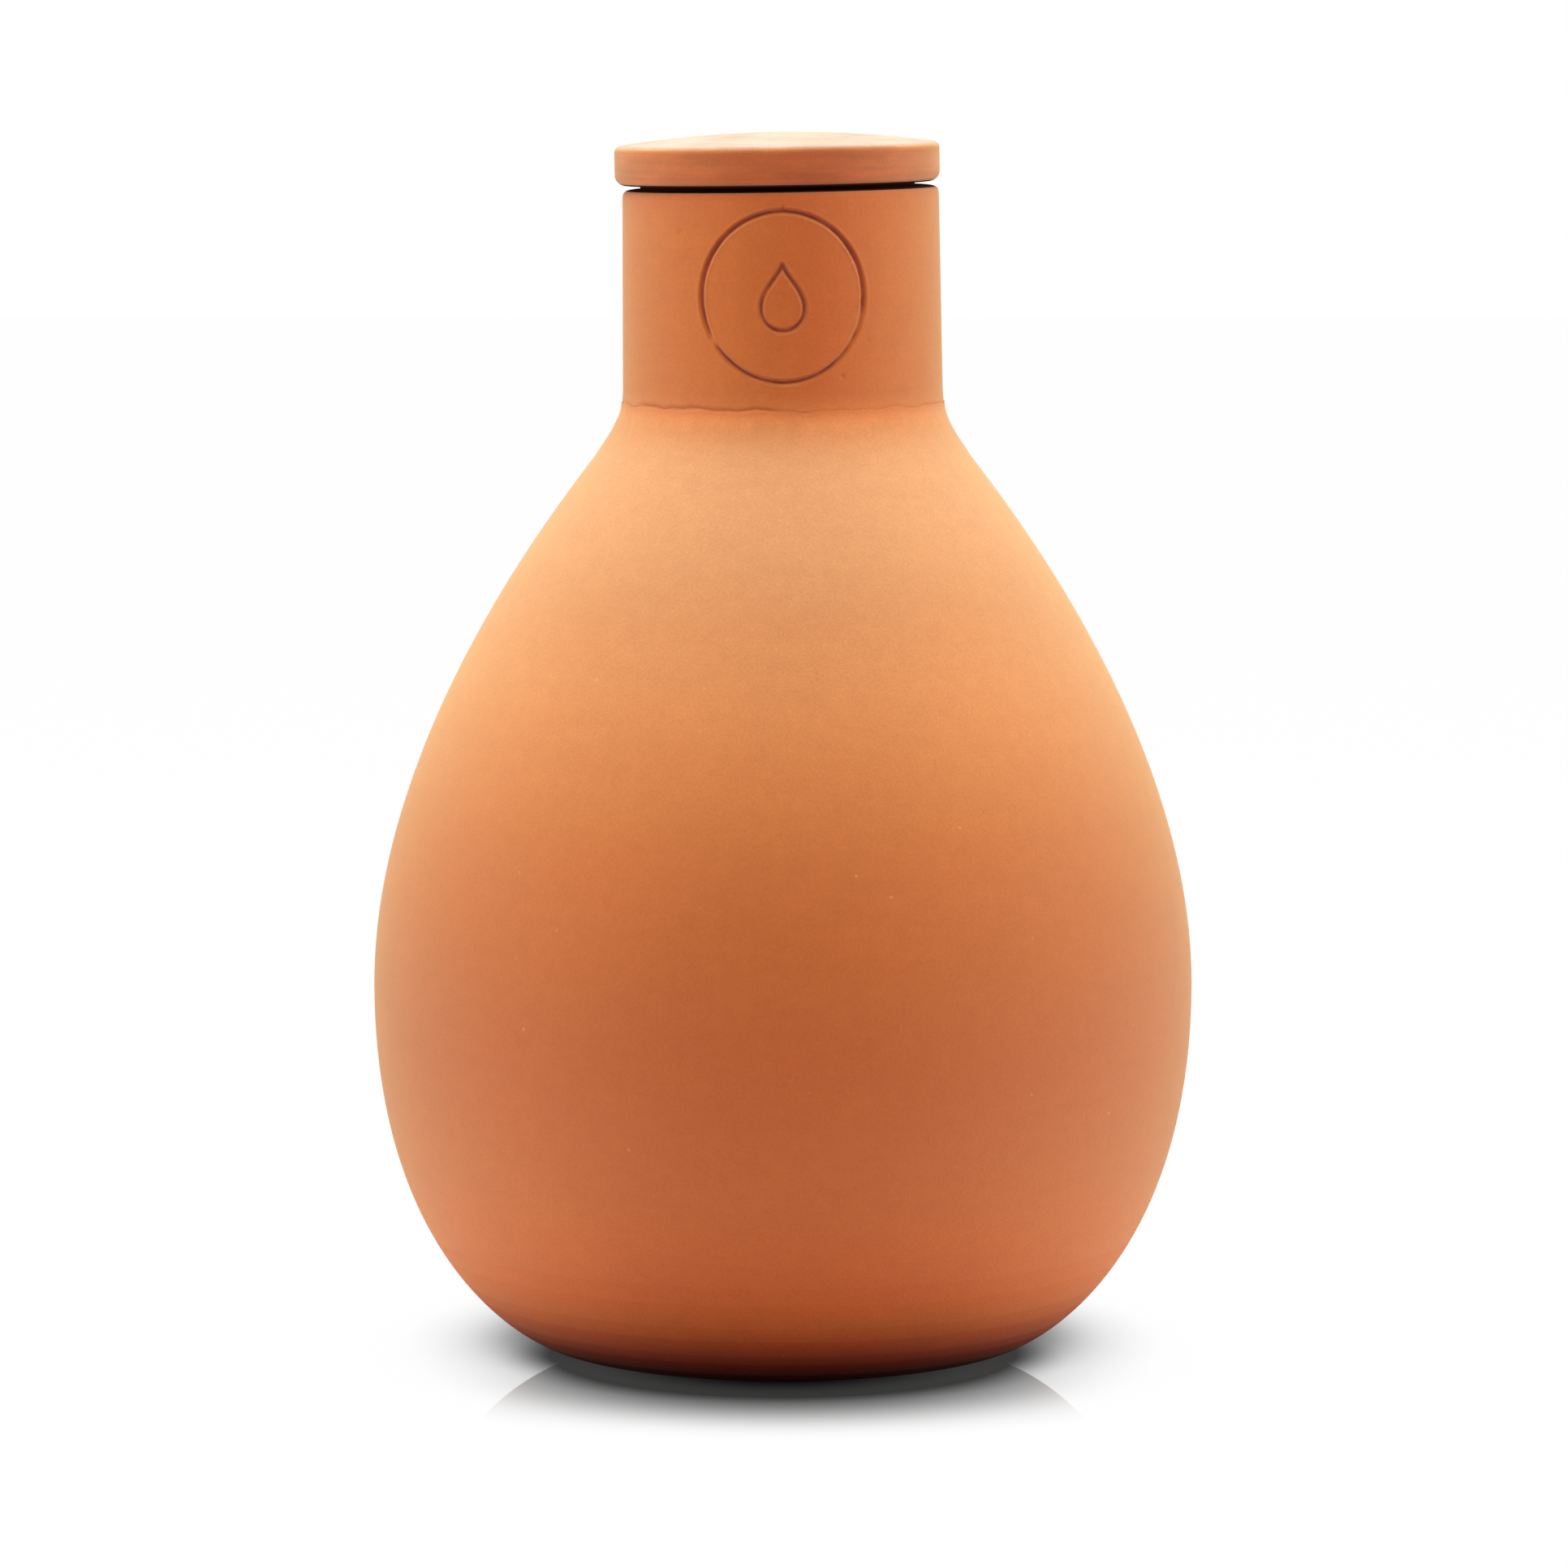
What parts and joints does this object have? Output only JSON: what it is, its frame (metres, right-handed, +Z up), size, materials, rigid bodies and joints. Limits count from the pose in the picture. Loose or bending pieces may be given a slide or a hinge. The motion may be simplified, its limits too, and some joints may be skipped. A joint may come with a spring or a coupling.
{
  "type": "irrigation olla",
  "caption": "Pear-shaped unglazed terracotta irrigation olla with a flat foot, a joined cylindrical neck and a loose domed lid.",
  "frame": {"origin": "centre of the flat foot, on the ground", "axes": "+Z up along the pot's axis; the round stamp on the neck faces -Y"},
  "size_m": [0.21, 0.21, 0.3104],
  "materials": {
    "fired_clay": "matte unglazed terracotta",
    "fired_clay_lid": "matte unglazed terracotta with fine turning lines"
  },
  "bodies": {
    "root": {"olla_body": "fired_clay", "lid": "fired_clay_lid"}
  },
  "joints": []
}
